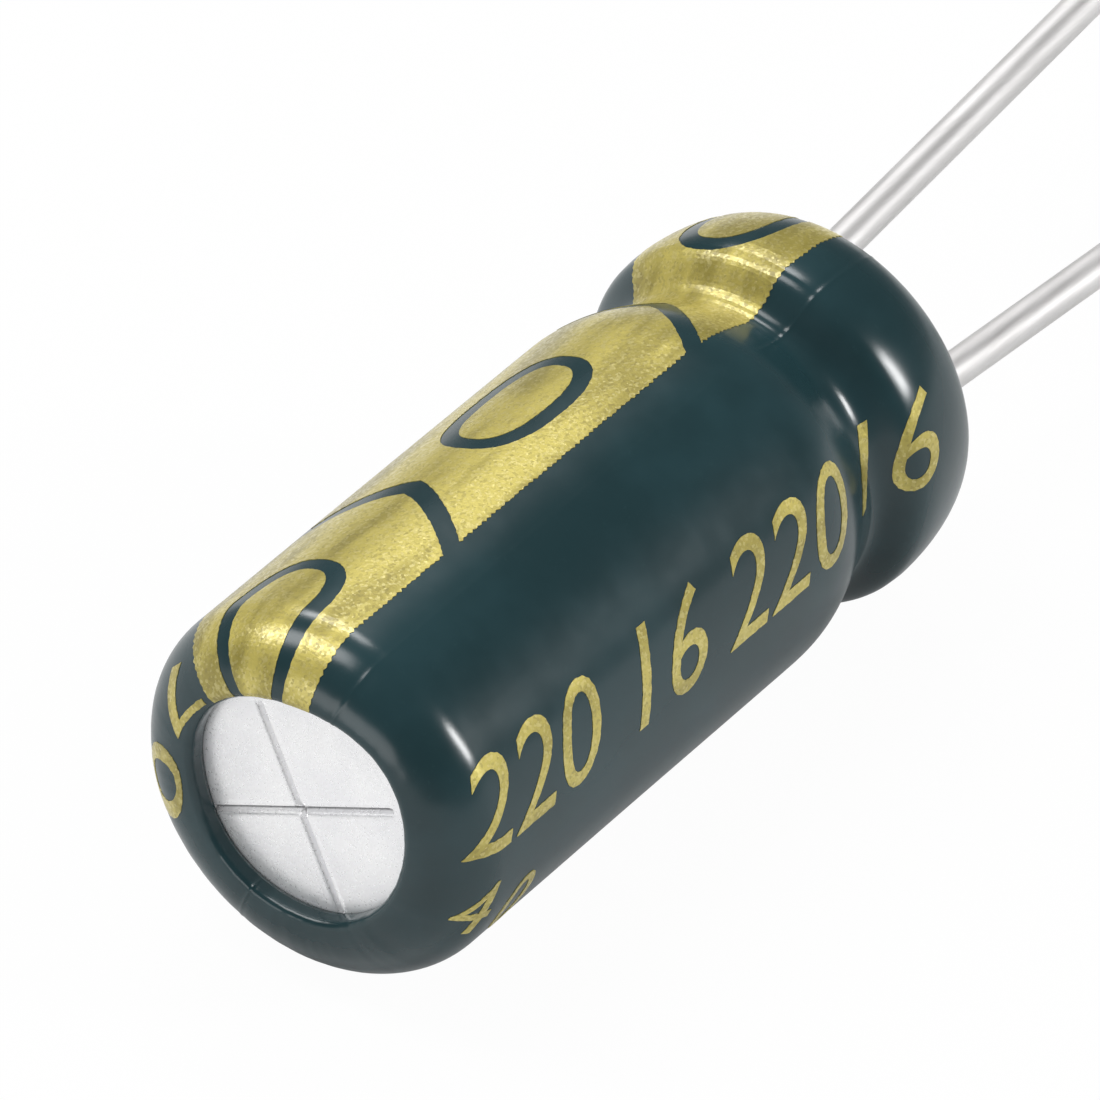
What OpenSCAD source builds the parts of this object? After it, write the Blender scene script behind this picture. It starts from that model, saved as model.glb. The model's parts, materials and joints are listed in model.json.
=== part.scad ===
// Radial aluminium electrolytic capacitor in a 5 x 11 mm case, lying on its side.
// The axis runs along X, with the vent end toward -X and the two leads toward +X.
// The origin is the centre of the lead end face, on the axis. Lengths are in millimetres.
// Inside the profiles, u is the distance from the lead end face toward the vent end.

/* [Sleeve] */
// Outer diameter over the sleeve, along the barrel
sleeve_d = 5.3; // [5.0:0.05:6.3]
// Length over the sleeve, from the lead end face to the lip at the vent
sleeve_len = 11.7; // [10.5:0.1:16]
// Wall of the shrunk sleeve along the barrel
sleeve_wall = 0.15; // [0.10:0.01:0.20]
// Thickness of the lip that has drawn in over the vent end
lip_t = 0.28; // [0.15:0.01:0.40]
// Rounding of the lip's edge
lip_round = 0.11; // [0.06:0.01:0.14]
// Radius of the opening that the lip leaves over the vent
lip_open_r = 1.66; // [1.3:0.02:1.7]
// How far the film drew in off the axis, and toward which turn from straight up
lip_shift = 0; // [0:0.02:0.26]
lip_shift_angle = -26; // [-180:1:180]
// Rounding of the sleeve where it turns over the vent end
lip_corner_r = 0.96; // [0.6:0.02:1.1]
// Thickness of the hem that has drawn in over the lead end
hem_t = 0.22; // [0.15:0.01:0.30]
// Radius of the opening that the hem leaves over the stopper
hem_open_r = 1.75; // [1.6:0.05:1.9]

/* [Crimped lead end] */
// Distance from the lead end face to the bottom of the pressed groove
groove_u = 2.08; // [1.8:0.02:2.3]
// Depth of the groove below the barrel
groove_depth = 0.45; // [0.3:0.05:0.6]
// Length of the groove's long flank on the barrel side
groove_flank = 1.6; // [0.8:0.05:1.8]
// Shape of that flank, from 1 for even to 0.5 for steep near the groove
flank_bend = 0.65; // [0.5:0.05:1]
// Distance from the lead end face to the crest of the bead
bead_u = 1.45; // [1.2:0.05:1.6]
// How far the crest of the bead stands proud of the barrel
bead_proud = 0.05; // [0:0.01:0.12]
// How far the bead draws in, from its crest to its flat end face
bead_round = 0.5; // [0.45:0.05:0.65]

/* [Can] */
// Wall of the drawn aluminium can
can_wall = 0.2; // [0.12:0.01:0.25]
// Thickness of the can's closed end
can_end_t = 0.3; // [0.2:0.02:0.5]
// Outer corner radius of the can's closed end
can_corner_r = 0.8; // [0.5:0.05:1.0]
// Radius of the hook that the rim is curled into
curl_r = 0.3; // [0.24:0.02:0.34]
// How far the curled rim bites down into the stopper
curl_bite = 0.12; // [0.05:0.01:0.2]
// Width of the two scored lines of the vent
score_w = 0.11; // [0.05:0.01:0.2]
// Depth of the scored lines
score_depth = 0.08; // [0.03:0.01:0.15]
// Length of the scored lines
score_len = 3.05; // [2:0.05:3.3]
// Turn of the first scored line about the axis, from straight up
score_angle = 24; // [-90:1:90]

/* [Stopper] */
// Distance from the lead end face to the face of the rubber stopper
stopper_u = 0.34; // [0.28:0.02:0.5]
// Length of the stopper
stopper_len = 2.5; // [2.2:0.1:3.2]
// Chamfer round the stopper's inner end
stopper_chamfer = 0.3; // [0.1:0.05:0.5]
// Clearance between pieces that fit into each other
fit_gap = 0.01; // [0.005:0.005:0.03]

/* [Leads] */
// Diameter of the tinned lead wires
lead_d = 0.5; // [0.4:0.05:0.6]
// Spacing of the two leads at the lead end face
lead_pitch = 2.0; // [1.8:0.1:2.2]
// Turn of the cathode lead about the axis, from straight up
lead_angle = 51.6; // [40:0.2:65]
// Angle at which each lead leaves the axis
lead_splay = 3.7; // [2:0.1:6]
// Reach of the longer, anode lead beyond the lead end face
anode_reach = 23; // [18:0.5:28]
// Reach of the shorter, cathode lead beyond the lead end face
cathode_reach = 18; // [12:0.5:22]
// Distance beyond the lead end face where the anode lead bends down to the table
anode_bend_x = 6; // [4:0.5:8]
// Radius of the bends in the leads, at the wire's centre
lead_bend_r = 3; // [2:0.5:6]
// Play of a lead in its hole through the stopper's face
lead_play = 0.05; // [0.02:0.01:0.1]

/* [Tabs] */
// Diameter of the round boss of each aluminium tab, which the stopper seals on
boss_d = 0.9; // [0.7:0.05:1.0]
// Distance from the lead end face to the weld between lead and boss
weld_u = 0.75; // [0.6:0.05:1.0]
// How far the boss stands out of the stopper's inner end
boss_out = 0.2; // [0.1:0.05:0.4]
// Thickness of the flattened paddle
paddle_t = 0.2; // [0.15:0.01:0.25]
// Width of the paddle, measured round the winding
paddle_w = 1.0; // [0.6:0.05:1.2]
// How far each paddle stops short of the foils' far edge
paddle_short = 0.8; // [0.4:0.1:3]
// Where the bar is pressed fully flat, as a share of the way from stopper to winding
paddle_start = 0.6; // [0.4:0.05:0.8]

/* [Winding] */
// Radius of the hollow that the winding mandrel leaves
mandrel_r = 0.45; // [0.3:0.05:0.55]
// Thickness of the anode foil
anode_foil_t = 0.09; // [0.07:0.01:0.12]
// Thickness of the cathode foil
cathode_foil_t = 0.05; // [0.03:0.01:0.08]
// Thickness of each paper separator
paper_t = 0.05; // [0.03:0.01:0.07]
// Gap left between neighbouring layers
layer_gap = 0.01; // [0.005:0.005:0.02]
// How far the papers stand out beyond the foils at each end
paper_margin = 0.4; // [0.2:0.05:0.6]
// Room between the winding and the stopper
winding_room = 0.7; // [0.5:0.05:1.0]
// Room between the winding and the rounded corner of the can's closed end
winding_end_gap = 0.1; // [0.05:0.05:0.4]
// Room round the winding inside the can
winding_side_gap = 0.08; // [0.04:0.01:0.2]
// Thickness of the tape that closes the winding
tape_t = 0.05; // [0.03:0.01:0.08]
// How far the tape stops short of the papers at each end
tape_margin = 1.2; // [0.5:0.1:2]

/* [Polarity stripe] */
// Width of the printed stripe, measured round the sleeve
stripe_w = 2.55; // [1.5:0.05:3.2]
// Turn of the stripe's middle about the axis, from straight up
stripe_angle = 19.5; // [0:0.5:60]
// Thickness of the printed ink, which lies on the sleeve
ink_t = 0.03; // [0.02:0.01:0.06]
// Distance at which the marks in the stripe repeat
mark_step = 5.3; // [5:0.1:8]
// Distance from the lip to the middle of the first oval
mark_start = 0.77; // [0.3:0.01:1.2]
// Distance from an oval's middle to the tip of the next arrow
arrow_step = 3.1; // [2.6:0.1:3.3]
// Line width of the ovals and arrows
mark_line = 0.22; // [0.1:0.01:0.3]
// Length of an oval over its line
oval_len = 2.35; // [1.8:0.05:2.8]
// Width of an oval over its line
oval_w = 1.4; // [0.8:0.05:1.8]
// Length of an arrow from its tip to its ends at the stripe's edges
arrow_len = 0.95; // [0.5:0.05:1.2]
// Shape of an oval, from 1 for an ellipse to 0.5 for nearly square
oval_bend = 0.8; // [0.6:0.05:1]

/* [Hidden] */
$fn = 48;

corner_steps = 8;       // straight steps in each rounded corner of a profile
flank_steps = 8;        // straight steps in each flank of the groove
turn_steps = 24;        // straight steps in one turn of the winding
oval_steps = 28;        // straight steps round an oval mark
past = 0.3;             // how far a cutter runs past the face that it cuts
nudge = 0.001;          // share of a step by which a turn counts as on it

barrel_r = sleeve_d / 2;
crest_r = barrel_r + bead_proud;
valley_r = barrel_r - groove_depth;

// Depths of the can's two surfaces below the sleeve's outer one, along the barrel
can_out = sleeve_wall + fit_gap;
can_in = can_out + can_wall;
// Places of the can's two end faces and of its inside
can_rim_u = hem_t + fit_gap;
can_len_u = sleeve_len - lip_t - fit_gap;
can_floor_u = can_len_u - can_end_t;
can_bore_r = barrel_r - can_in;
curl_mid_r = crest_r - bead_round;

anode_angle = lead_angle + 180;

stopper_end_u = stopper_u + stopper_len;
// Stretches along the axis of the tabs, the papers and the foils
boss_end_u = stopper_end_u + boss_out;
winding_u = stopper_end_u + winding_room;
winding_end_u = can_floor_u - (can_corner_r - can_wall) - winding_end_gap;
foil_u = winding_u + paper_margin;
foil_end_u = winding_end_u - paper_margin;
paddle_u = boss_end_u + paddle_start * (winding_u - boss_end_u);
paddle_end_u = foil_end_u - paddle_short;

// Turns a profile drawn as [radius, u] about the axis of the capacitor
module turned(angle = 360, start = 0) {
    rotate([0, -90, 0]) rotate([0, 0, start]) rotate_extrude(angle = angle) children();
}

// Places children that are drawn along local Z at a given u, radius and turn from straight up
module at_u(u, r = 0, turn = 0) {
    rotate([0, -90, 0]) rotate([0, 0, turn]) translate([r, 0, u]) children();
}

// Height of a smooth flank between 0 and 1, for t from 0 to 1
function ease(t) = (1 - cos(180 * t)) / 2;

// One surface of the crimped shell, from the flat of its lead end to its vent corner.
// depth is how far it lies inside the sleeve's outer surface, rim_u and end_u are its
// two end planes, and corner_r is its radius at the vent end.
function shell_line(depth, rim_u, end_u, corner_r) = concat(
    [for (i = [0:corner_steps]) let (a = 90 * i / corner_steps)
        [curl_mid_r + (bead_round - depth) * sin(a), bead_u - (bead_u - rim_u) * cos(a)]],
    [for (i = [1:flank_steps]) let (t = i / flank_steps)
        [valley_r + (crest_r - valley_r) * ease(1 - t) - depth, bead_u + (groove_u - bead_u) * t]],
    [for (i = [1:flank_steps]) let (t = i / flank_steps)
        [valley_r + groove_depth * ease(pow(t, flank_bend)) - depth, groove_u + groove_flank * t]],
    [for (i = [0:corner_steps]) let (a = 90 * i / corner_steps)
        [barrel_r - depth - corner_r * (1 - cos(a)), end_u - corner_r * (1 - sin(a))]]);

function reversed(points) = [for (i = [len(points) - 1:-1:0]) points[i]];

function sleeve_line() = shell_line(0, 0, sleeve_len, lip_corner_r);
function can_line() = shell_line(can_out, can_rim_u, can_len_u, can_corner_r);
function bore_line(gap = 0) = shell_line(can_in + gap, can_rim_u + can_wall + gap,
                                         can_floor_u, can_corner_r - can_wall);

// Quarter of a circle as profile points, from angle a to angle b
function arc_points(r, u, radius, a, b) = [for (i = [0:corner_steps])
    let (t = a + (b - a) * i / corner_steps) [r + radius * cos(t), u + radius * sin(t)]];

// Sleeve

module sleeve_section() {
    lip_in_r = lip_open_r - lip_shift - past;
    polygon(concat(
        [[hem_open_r, hem_t], [hem_open_r, 0]],
        sleeve_line(),
        [[lip_in_r, sleeve_len], [lip_in_r, sleeve_len - lip_t]],
        reversed(shell_line(sleeve_wall, hem_t, sleeve_len - lip_t, can_corner_r))));
}

// Places children on the axis of the lip's opening, with the revolved profile at the same u
module at_opening() {
    shift = [lip_shift * sin(lip_shift_angle), lip_shift * cos(lip_shift_angle)];
    translate([0, shift[0], shift[1]]) children();
}

// The opening, which flares by the rounding of the lip's edge
module opening() {
    at_opening() turned() polygon(concat(
        [[0, sleeve_len + past], [0, sleeve_len - lip_t - past], [lip_open_r, sleeve_len - lip_t - past]],
        reversed(arc_points(lip_open_r + lip_round, sleeve_len - lip_round, lip_round, 90, 180)),
        [[lip_open_r + lip_round, sleeve_len + past]]));
}

module sleeve() {
    color([0.12, 0.23, 0.24]) difference() {
        turned() sleeve_section();
        opening();
    }
}

// Polarity stripe: the printed band, which leaves its marks bare to the sleeve

// Outline of a flat-sided oval, as a superellipse
function oval(length, width) = [for (i = [0:oval_steps - 1]) let (a = 360 * (i + 0.5) / oval_steps)
    [length / 2 * rounded(cos(a)), width / 2 * rounded(sin(a))]];
function rounded(x) = sign(x) * pow(abs(x), oval_bend);

module oval_mark() {
    difference() {
        polygon(oval(oval_len, oval_w));
        polygon(oval(oval_len - 2 * mark_line, oval_w - 2 * mark_line));
    }
}

// The tip points to the lead end, and the arms run past the stripe's edges
module arrow_mark() {
    slope = arrow_len / (stripe_w / 2);
    reach = stripe_w / 2 + past;
    line = mark_line * sqrt(1 + slope * slope);
    polygon([[0, 0], [slope * reach, reach], [slope * reach + line, reach], [line, 0],
             [slope * reach + line, -reach], [slope * reach, -reach]]);
}

module marks() {
    count = floor((sleeve_len - mark_start) / mark_step);
    at_u(0, 0, stripe_angle) rotate([0, 90, 0]) linear_extrude(sleeve_d) for (i = [0:count]) {
        middle_u = sleeve_len - mark_start - i * mark_step;
        translate([-middle_u, 0]) oval_mark();
        if (middle_u > arrow_step) translate([-(middle_u - arrow_step), 0]) mirror([1, 0]) arrow_mark();
    }
}

module polarity_stripe() {
    turn = stripe_w / barrel_r * 180 / PI;
    print_line = shell_line(-ink_t, -ink_t, sleeve_len + ink_t, lip_corner_r + ink_t);
    color([0.72, 0.66, 0.35]) difference() {
        turned(turn, stripe_angle - turn / 2)
            polygon(concat(off_the_seat(print_line), reversed(off_the_seat(sleeve_line()))));
        marks();
        at_opening() at_u(sleeve_len - past) cylinder(r = lip_open_r + lip_round, h = 2 * past);
    }
}

// The print starts on the bead's rounding and leaves the flat seat of the lead end bare
function off_the_seat(line) = [for (i = [2:len(line) - 1]) line[i]];

// Can: drawn shell, pressed groove, curled rim and scored end

module can_section() {
    inner_r = curl_r - can_wall;
    hook_u = can_rim_u + curl_r;
    polygon(concat(
        [[0, can_len_u]],
        reversed(can_line()),
        reversed(arc_points(curl_mid_r, hook_u, curl_r, 180, 270)),
        [[curl_mid_r - curl_r, hook_u + curl_bite], [curl_mid_r - inner_r, hook_u + curl_bite]],
        arc_points(curl_mid_r, hook_u, inner_r, 180, 270),
        bore_line(),
        [[0, can_floor_u]]));
}

module score_line(turn) {
    at_u(can_len_u, 0, turn) rotate([0, 0, 90]) rotate([90, 0, 0])
        translate([0, 0, -score_len / 2]) linear_extrude(score_len)
            polygon([[-score_w / 2, 0], [0, -score_depth], [score_w / 2, 0], [score_w / 2, past],
                     [-score_w / 2, past]]);
}

module can() {
    color([0.88, 0.88, 0.87]) difference() {
        turned() can_section();
        score_line(score_angle);
        score_line(score_angle + 90);
    }
}

// Stopper: the rubber fills the crimped end, and the curled rim is pressed into its face

module stopper_section() {
    hook_u = can_rim_u + curl_r;
    hook_end_u = hook_u + curl_bite + fit_gap;
    outer_r = curl_mid_r - curl_r - fit_gap;
    inner_r = curl_mid_r - curl_r + can_wall + fit_gap;
    bore = [for (p = bore_line(fit_gap)) if (p[1] > hook_end_u && p[1] < stopper_end_u - stopper_chamfer) p];
    end_r = bore[len(bore) - 1][0];
    polygon(concat(
        [[0, stopper_end_u], [0, stopper_u], [outer_r, stopper_u], [outer_r, hook_end_u], [inner_r, hook_end_u]],
        bore,
        [[end_r, stopper_end_u - stopper_chamfer], [end_r - stopper_chamfer, stopper_end_u]]));
}

module stopper() {
    color([0.16, 0.16, 0.17]) difference() {
        turned() stopper_section();
        for (turn = [lead_angle, anode_angle]) {
            at_u(0, lead_pitch / 2, turn) cylinder(d = lead_d + 2 * lead_play, h = sleeve_len / 2);
            at_u(weld_u - fit_gap, lead_pitch / 2, turn)
                cylinder(d = boss_d + 2 * fit_gap, h = sleeve_len / 2);
        }
    }
}

// Leads: tinned wire, butt welded to the boss inside the stopper

// A length of wire along Z that then bends by angle toward +X, with what follows as children.
// The wire necks a little in the bend, and the bend laps into the straight wire at both ends.
module wire_then_bend(length, angle) {
    lap = 1;
    neck = 0.99;
    cylinder(d = lead_d, h = length);
    translate([lead_bend_r, 0, length]) {
        rotate([90, 0, 0]) rotate([0, 0, 180 - angle - lap])
            rotate_extrude(angle = angle + 2 * lap) translate([lead_bend_r, 0]) circle(d = lead_d * neck);
        rotate([0, angle, 0]) translate([-lead_bend_r, 0, 0]) children();
    }
}

// Length that a bend takes from each of the straight wires that meet in it
function bend_cut(angle) = lead_bend_r * tan(angle / 2);

// Draws along Z from the weld, with the splay toward +X
module from_weld(turn) {
    rotate([0, 90, 0]) rotate([0, 0, 180 - turn]) translate([lead_pitch / 2, 0, -weld_u]) children();
}

// The anode lead comes down to the table at its tip, and so keeps the capacitor from rolling
anode_drop = (crest_r - lead_d / 2) / cos(lead_angle) - lead_pitch / 2;
anode_second = atan((anode_drop - anode_bend_x * tan(lead_splay)) / (anode_reach - anode_bend_x));
anode_turn = anode_second - lead_splay;

module anode_lead() {
    first = anode_bend_x / cos(lead_splay) - bend_cut(lead_splay) - bend_cut(anode_turn);
    second = (anode_reach - anode_bend_x) / cos(anode_second) - bend_cut(anode_turn);
    color([0.80, 0.79, 0.78]) from_weld(anode_angle)
        wire_then_bend(weld_u - bend_cut(lead_splay), lead_splay)
            wire_then_bend(first, anode_turn)
                cylinder(d = lead_d, h = second);
}

module cathode_lead() {
    length = cathode_reach / cos(lead_splay) - bend_cut(lead_splay);
    color([0.80, 0.79, 0.78]) from_weld(lead_angle)
        wire_then_bend(weld_u - bend_cut(lead_splay), lead_splay)
            cylinder(d = lead_d, h = length);
}

// Winding: four strips wound together as spirals, that swell over the two paddles.
// Layers are counted outward within one turn: anode foil, paper, cathode foil, paper.

layer_t = [anode_foil_t, paper_t, cathode_foil_t, paper_t];
layer_in = [0, anode_foil_t + layer_gap, anode_foil_t + paper_t + 2 * layer_gap,
            anode_foil_t + paper_t + cathode_foil_t + 3 * layer_gap];
wind_step = layer_in[3] + paper_t + layer_gap;
swell = paddle_t + layer_gap;

// The anode paddle lies under the anode foil, and the cathode paddle half a turn earlier
anode_wound = (lead_pitch / 2 - paddle_t / 2 - mandrel_r) / wind_step;
cathode_wound = anode_wound - 0.5;
paddle_half = paddle_w / 2 / (lead_pitch / 2) / (2 * PI);

// Turns that fit between the mandrel's hollow and the can
wound_room = can_bore_r - winding_side_gap - tape_t - layer_gap - swell - mandrel_r;
wound = floor((wound_room / wind_step - 1) * turn_steps) / turn_steps;

// Share of a paddle's thickness by which the turns over it are lifted, at w turns from its middle
function lift(w) = let (beyond = (abs(w) * turn_steps - ceil(paddle_half * turn_steps)) / 2)
    beyond <= 0 ? 1 : beyond >= 1 ? 0 : 1 - ease(beyond);
// The same share for a layer, which is later if it comes outside the paddle in the paddle's own turn
function lifted(w, later) = w > 0.5 || (later && w > -0.5) ? lift(w - round(w)) : 0;
// Inner radius of a layer at w turns
function wound_r(w, layer) = mandrel_r + wind_step * w + layer_in[layer]
    + swell * (lifted(w - anode_wound, true) + lifted(w - cathode_wound, layer >= 2));

// Corner of a layer's outline, k straight steps from the middle of the anode paddle
function wound_corner(k, layer, rise) = let (
    r = wound_r(anode_wound + k / turn_steps, layer) + rise,
    a = anode_angle + 360 * k / turn_steps) [r * cos(a), r * sin(a)];
// Point at w turns, on the straight step that it falls in
function wound_point(w, layer, rise) = let (
    steps = (w - anode_wound) * turn_steps,
    k = floor(steps + nudge),
    part = max(0, steps - k)) (1 - part) * wound_corner(k, layer, rise) + part * wound_corner(k + 1, layer, rise);

// Outline of a strip from turn a to turn b, its inner side rise above the layer's own place
function strip(a, b, layer, thickness, rise = 0) = let (
    first = floor((a - anode_wound) * turn_steps + nudge) + 1,
    last = ceil((b - anode_wound) * turn_steps - nudge) - 1,
    line = concat([a], [for (k = [first:last]) anode_wound + k / turn_steps], [b])) concat(
        [for (w = line) wound_point(w, layer, rise)],
        [for (w = reversed(line)) wound_point(w, layer, rise + thickness)]);

module wound_strip(layer, u, end_u) {
    at_u(u) linear_extrude(end_u - u) polygon(strip(0, wound, layer, layer_t[layer]));
}

module anode_foil() {
    color([0.62, 0.63, 0.64]) wound_strip(0, foil_u, foil_end_u);
}

module inner_separator() {
    color([0.86, 0.81, 0.68]) wound_strip(1, winding_u, winding_end_u);
}

module cathode_foil() {
    color([0.78, 0.79, 0.80]) wound_strip(2, foil_u, foil_end_u);
}

module outer_separator() {
    color([0.86, 0.81, 0.68]) wound_strip(3, winding_u, winding_end_u);
}

module closing_tape() {
    seam = 0.5 / turn_steps;
    color([0.80, 0.70, 0.45]) at_u(winding_u + tape_margin)
        linear_extrude(winding_end_u - winding_u - 2 * tape_margin)
            polygon(strip(wound + seam, wound + 1 - seam, 0, tape_t));
}

// Tabs: a round boss sealed in the stopper, flattened to a paddle between the turns

module paddle_outline(at_turn, layer) {
    polygon(strip(at_turn - paddle_half, at_turn + paddle_half, layer, paddle_t, -swell));
}

// Side view of the bar along Z, round up to the pressing and then drawn down to the paddle
module pressed_view() {
    round_len = boss_end_u - weld_u;
    flat_len = paddle_u - weld_u;
    polygon([[-boss_d, -past], [boss_d, -past], [boss_d, round_len - boss_d / 2], [paddle_t / 2, flat_len],
             [paddle_t / 2, flat_len + past], [-paddle_t / 2, flat_len + past],
             [-paddle_t / 2, flat_len], [-boss_d, round_len - boss_d / 2]]);
}

module tab(turn, at_turn, layer) {
    lap = 0.1;
    at_u(weld_u, lead_pitch / 2, turn) intersection() {
        cylinder(d = boss_d, h = paddle_u - weld_u + lap);
        rotate([90, 0, 0]) linear_extrude(2 * boss_d, center = true) pressed_view();
    }
    at_u(paddle_u) linear_extrude(paddle_end_u - paddle_u) paddle_outline(at_turn, layer);
}

module anode_tab() {
    color([0.75, 0.76, 0.77]) tab(anode_angle, anode_wound, 0);
}

module cathode_tab() {
    color([0.75, 0.76, 0.77]) tab(lead_angle, cathode_wound, 2);
}

sleeve();
polarity_stripe();
can();
stopper();
anode_lead();
cathode_lead();
anode_tab();
cathode_tab();
anode_foil();
cathode_foil();
inner_separator();
outer_separator();
closing_tape();
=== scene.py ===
"""Looks of a radial aluminium electrolytic capacitor that lies on its side.

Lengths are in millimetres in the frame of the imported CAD, and MM scales them as each mesh is made. The
axis runs along X with the leads toward +X, u is the distance from the lead end face toward the vent end,
and a turn is an angle about the axis from straight up toward +Y. A place on the film is (s, y): s is the
distance along the film, equal to u on the barrel, and y is the distance round it at the barrel's radius.
"""

import math

import bmesh
import bpy
import numpy as np
from mathutils import Matrix, Vector
from mathutils.geometry import delaunay_2d_cdt
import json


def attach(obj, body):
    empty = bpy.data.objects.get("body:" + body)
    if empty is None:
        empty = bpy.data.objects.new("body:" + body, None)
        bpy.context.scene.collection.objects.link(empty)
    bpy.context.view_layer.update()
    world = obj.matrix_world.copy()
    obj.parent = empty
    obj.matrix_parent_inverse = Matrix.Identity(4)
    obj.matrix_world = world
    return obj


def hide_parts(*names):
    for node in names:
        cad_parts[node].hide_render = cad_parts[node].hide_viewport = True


MM = 0.001
SEED = 5

# Sleeve, as in the CAD
BARREL_R = 2.65
BODY_LEN = 11.7
FILM_WALL = 0.15
LIP_T = 0.28
LIP_ROUND = 0.11
LIP_CORNER_R = 0.96
LIP_OPEN_R = 1.66
HEM_T = 0.22
HEM_OPEN_R = 1.75
HEM_ROUND = 0.06
FIT_GAP = 0.01

# Crimped lead end, as in the CAD
CREST_R = 2.70
VALLEY_R = 2.20
BEAD_U = 1.45
BEAD_ROUND = 0.5
GROOVE_U = 2.08
GROOVE_FLANK = 1.6
FLANK_BEND = 0.65
CURL_MID_R = CREST_R - BEAD_ROUND

# Can, as in the CAD
CAN_WALL = 0.2
CAN_END_T = 0.3
CAN_CORNER_R = 0.8
CURL_R = 0.3
CURL_BITE = 0.12
SCORE_W = 0.11
SCORE_DEPTH = 0.08
SCORE_LEN = 3.05
SCORE_TURN = 24.0

# Form of the can's end that only the scene has: burrs along the scored lines, how their ends run out, and
# a faint wave
SCORE_BURR = 0.014
BURR_W = 0.035
SCORE_RUN_OUT = 0.02
END_WAVE = 0.004

# Points of the can's mesh: columns round it and rows along it, points along and beside the scored lines,
# and even ones on the rest of the end, clear of the lines and the rim
CAN_COLUMNS = 192
CAN_START_ROWS = (12, 12, 20)
CAN_CORNER_ROWS = 13
CAN_INNER_CORNER_ROWS = 9
CURL_ROWS = 9
SCORE_STEP = 0.045
SCORE_REACH = 1.62
SCORE_ROWS = (0, 0.027, SCORE_W / 2, SCORE_W / 2 + 0.012, SCORE_W / 2 + BURR_W, 0.13)
SCORE_CRISP_PAST = 0.05
END_STEP = 0.09
END_ROOM = 0.16
RIM_ROOM = 0.03

# Leads, as in the CAD
LEAD_D = 0.5
LEAD_PITCH = 2.0
LEAD_TURN = 51.6
LEAD_SPLAY = 3.7
ANODE_REACH = 23.0
CATHODE_REACH = 18.0
ANODE_BEND_X = 6.0
LEAD_BEND_R = 3.0
WELD_U = 0.75

# Chamfer of a lead's tip with the share of the radius that it leaves, and the steps of the lead's mesh
LEAD_CHAMFER = 0.05
LEAD_TIP_SHARE = 0.62
LEAD_SIDES = 36
LEAD_STEP = 0.35
BEND_STEPS = 6

# Gold stripe on the film, with its toothed sides and its bare oval rings and arrows
STRIPE_W = 2.55
STRIPE_TURN = 19.5
STRIPE_FIRST_ROW = 3
STRIPE_OVER_LIP = 0.8
STRIPE_END_POINTS = 41
TOOTH = 0.05
TOOTH_LEAST = 0.0032
TOOTH_MOST = 0.0224
OVAL_PLACES = (0.08, 5.63, 10.91)
OVAL_LEN = 2.42
OVAL_W = 1.5
OVAL_LINE = 0.25
OVAL_SQUARENESS = 0.8
OVAL_POINTS = 60
ARROW_PLACES = (2.4, 7.65)
ARROW_SLOPE = 0.49
ARROW_BEND = 0.17
ARROW_LINE = 0.35
ARROW_PAST = 0.15
ARROW_TIP_ROUND = 0.05
ARROW_POINTS = 15
SHOULDER_STRETCH = 1.5
BARE_ROUGHNESS = 0.008
ROUGH_STEP = 0.05

# Plain numbers as text, height, and s and turn of the lower left corner: along the film, and across it
NUMERALS = (("220", 1.3, 11.45, -86.0), ("16", 1.3, 8.2, -86.0), ("220", 1.3, 5.9, -86.0),
            ("16", 1.3, 2.8, -86.0), ("4", 0.9, 11.6, -116.0), ("0", 0.9, 10.7, -124.0))
UPRIGHT_NUMERALS = (("7", 0.72, 11.44, 48.0), ("0", 0.76, 11.50, 86.0))
UPRIGHT_WIDTH = 2.9
NUMERAL_SLANT = 0.35
NUMERAL_BOLD = 0.065
NUMERAL_ROUGHNESS = 0.006
NUMERAL_STEP = 0.06
FONT_HEIGHT = 0.7

# How far the ink stands proud of the film and reaches into it, and how far apart its points are round the
# film and along its parts
INK_PROUD = 0.008
INK_SUNK = 0.010
PRINT_STEP = 0.12
PRINT_STEP_BARREL = 0.25
PRINT_STEP_BENDS = 0.06
PRINT_STEP_LIP = 0.03
PRINT_LIP_ROOM = 0.2
PRINT_SHOULDER_ROOM = 0.1

# Form of the film that only the scene has: the lip off the axis and not quite round, the lay-flat creases
# with a dip beside each, waves and puckers
LIP_SHIFT = 0.22
LIP_SHIFT_TURN = -26.0
LIP_WAVES = ((2, 0.053, -38.0), (3, 0.035, -59.0), (4, 0.027, 44.0))
CREASES = (-20.0, 156.0)
CREASE_PROUD = 0.0055
CREASE_W = 0.03
CREASE_DIP = 0.35
CREASE_DIP_OFF = 0.07
CREASE_DIP_W = 0.04
CREASE_LEAST = 0.15
CREASE_FADE_S = 3.2
CREASE_FADE_RUN = 1.2
WIDE_WAVE = 0.0028
FINE_PUCKER = 0.0014
FINER_PUCKER = 0.0007
PUCKER_RUN = 1.3
WANDER_TURN = 6.0
FLAT_U = 0.01

# How softly the film follows bead and groove, most so about one turn
SOFT_AT = -52.0
SOFT_SPREAD = 24.0
SOFT_LEAST = 0.12
SOFT_MOST = 0.27
SOFT_REACH = 0.8
SOFT_STEP = 0.01
SOFT_FROM_U = 0.8
SOFT_FROM_RUN = 0.5
SOFT_LAST_S = 4.9
SOFT_READ_S = 5.0
SOFT_MARGIN = 1.0

# Points of the film's mesh: columns round it, those beside a crease in degrees off it, and rows
FILM_COLUMNS = 288
CREASE_COLUMNS = (-2.1, -1.5, -1.0, -0.6, -0.3, 0, 0.3, 0.6, 1.0, 1.5, 2.1)
COLUMN_ROOM = 0.35
FLANK_SPACING = 1.5
OUTER_START_ROWS = (15, 15, 26)
INNER_START_ROWS = (8, 8, 14)
BARREL_ROWS = 26
SHOULDER_ROWS = 27
LIP_ROWS = 9
INNER_SHOULDER_ROWS = 11
WALL_ROWS = 4

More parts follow.
